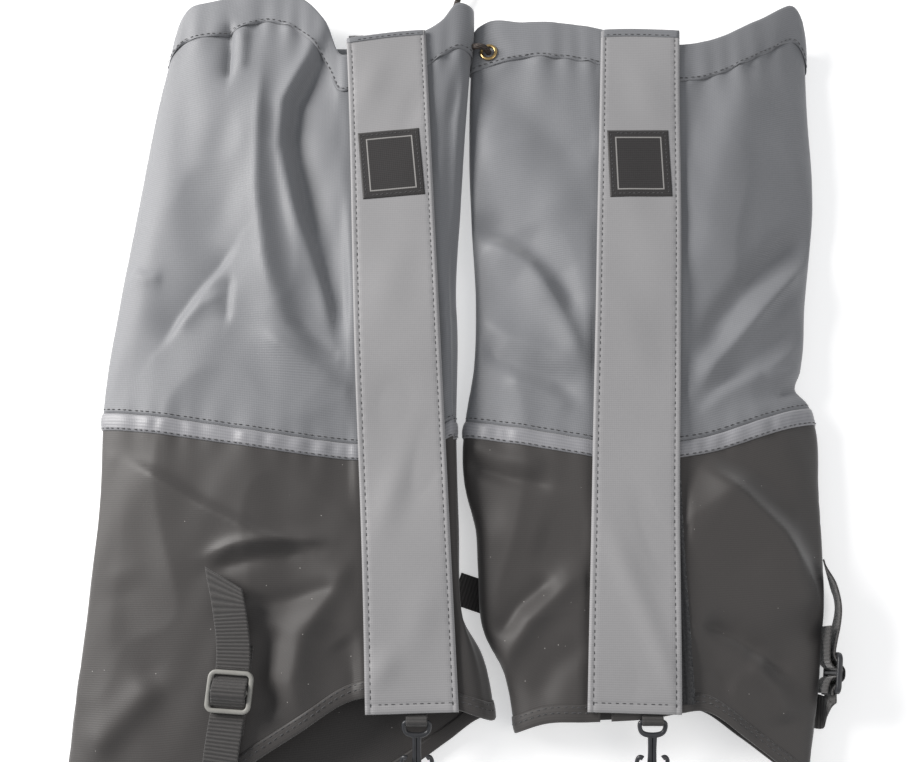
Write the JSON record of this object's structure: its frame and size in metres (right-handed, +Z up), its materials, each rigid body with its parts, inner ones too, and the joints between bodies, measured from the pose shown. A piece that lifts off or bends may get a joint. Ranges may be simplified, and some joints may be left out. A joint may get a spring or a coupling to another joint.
{
  "type": "pair of hiking gaiters",
  "caption": "Pair of knee-high hiking gaiters with a grey upper, black lower, front storm flap, lace hook and instep strap.",
  "frame": {"origin": "middle of the pair's outline, on the surface they lie on", "axes": "+X across the pair from the left gaiter to the right one, +Y from foot to knee, +Z up, away from the surface"},
  "size_m": [0.4582, 0.5934, 0.036],
  "materials": {
    "grey_nylon": "matt ripstop nylon",
    "black_coated": "matt coated oxford",
    "webbing": "ribbed webbing",
    "hook_loop": "hook and loop pile",
    "elastic": "knitted elastic",
    "woven_label": "woven label",
    "drawcord": "braided cord",
    "brass": "satin brass",
    "dark_acetal": "moulded acetal",
    "grey_acetal": "moulded acetal",
    "spring_steel": "spring wire"
  },
  "bodies": {
    "left_gaiter": {"left_anchor_tab": "webbing", "left_ankle_elastic": "elastic", "left_eyelet": "brass", "left_eyelet_washer": "brass", "left_foot_hem": "black_coated", "left_hem_drawcord": "drawcord", "left_hook_tab": "webbing", "left_instep_strap": "webbing", "left_knee_hem": "grey_nylon", "left_loop_tape": "hook_loop", "left_lower_panel": "black_coated", "left_seam_band": "grey_nylon", "left_upper_panel": "grey_nylon"},
    "left_flap": {"left_hook_tape": "hook_loop", "left_label": "woven_label", "left_storm_flap": "grey_nylon"},
    "left_hook": {"left_lace_hook": "dark_acetal"},
    "left_buckle_body": {"left_buckle": "grey_acetal", "left_strap_in_buckle": "webbing"},
    "left_tail": {"left_strap_tail": "webbing"},
    "right_gaiter": {"cord_knot": "drawcord", "right_anchor_tab": "webbing", "right_ankle_elastic": "elastic", "right_eyelet": "brass", "right_eyelet_washer": "brass", "right_foot_hem": "black_coated", "right_free_cord": "drawcord", "right_hem_drawcord": "drawcord", "right_hook_tab": "webbing", "right_instep_strap": "webbing", "right_knee_hem": "grey_nylon", "right_loop_tape": "hook_loop", "right_lower_panel": "black_coated", "right_seam_band": "grey_nylon", "right_upper_panel": "grey_nylon"},
    "right_flap": {"right_hook_tape": "hook_loop", "right_label": "woven_label", "right_storm_flap": "grey_nylon"},
    "right_hook": {"right_lace_hook": "dark_acetal"},
    "right_buckle_body": {"right_buckle": "grey_acetal", "right_strap_in_buckle": "webbing"},
    "right_tail": {"right_strap_tail": "webbing"},
    "lock": {"cord_lock_body": "dark_acetal", "cord_lock_spring": "spring_steel"},
    "plunger": {"cord_lock_plunger": "dark_acetal"}
  },
  "joints": [
    {"name": "pair_apart", "type": "slide", "parent": "left_gaiter", "child": "right_gaiter", "axis": [1, 0, 0], "range_m": [0, 0.15]},
    {"name": "left_flap_open", "type": "hinge", "parent": "left_gaiter", "child": "left_flap", "pos_m": [-0.01765, 0.01563, 0.02818], "axis": [-0.0516, 0.9987, 0], "range_deg": [0, 120]},
    {"name": "left_hook_swing", "type": "hinge", "parent": "left_gaiter", "child": "left_hook", "pos_m": [-0.03105, -0.18942, 0.02623], "axis": [1, 0, 0], "range_deg": [-85, 20]},
    {"name": "left_buckle_tilt", "type": "hinge", "parent": "left_gaiter", "child": "left_buckle_body", "pos_m": [-0.13605, -0.17337, 0.03198], "axis": [0.9976, -0.0698, 0], "range_deg": [0, 8]},
    {"name": "left_tail_lift", "type": "hinge", "parent": "left_buckle_body", "child": "left_tail", "pos_m": [-0.13514, -0.16035, 0.02973], "axis": [0.9976, -0.0698, 0], "range_deg": [0, 75]},
    {"name": "right_flap_open", "type": "hinge", "parent": "right_gaiter", "child": "right_flap", "pos_m": [0.07515, 0.01563, 0.02818], "axis": [-0.0516, -0.9987, 0], "range_deg": [0, 120]},
    {"name": "right_hook_swing", "type": "hinge", "parent": "right_gaiter", "child": "right_hook", "pos_m": [0.10155, -0.18942, 0.02623], "axis": [1, 0, 0], "range_deg": [-85, 20]},
    {"name": "right_buckle_tilt", "type": "hinge", "parent": "right_gaiter", "child": "right_buckle_body", "pos_m": [0.20921, -0.16324, 0.01348], "axis": [0, 0, -1], "range_deg": [0, 8]},
    {"name": "right_tail_lift", "type": "hinge", "parent": "right_buckle_body", "child": "right_tail", "pos_m": [0.20886, -0.15, 0.01348], "axis": [0, 0, -1], "range_deg": [0, 75]},
    {"name": "cord_lock_slide", "type": "slide", "parent": "right_gaiter", "child": "lock", "axis": [0.0849, 0.9964, 0], "range_m": [-0.0015, 0.0015]},
    {"name": "cord_lock_press", "type": "slide", "parent": "lock", "child": "plunger", "axis": [-0.9964, 0.0849, 0], "range_m": [0, 0.0035], "stiffness_N_per_m": 400, "springref_m": -0.002, "deforming": ["cord_lock_spring"]}
  ]
}
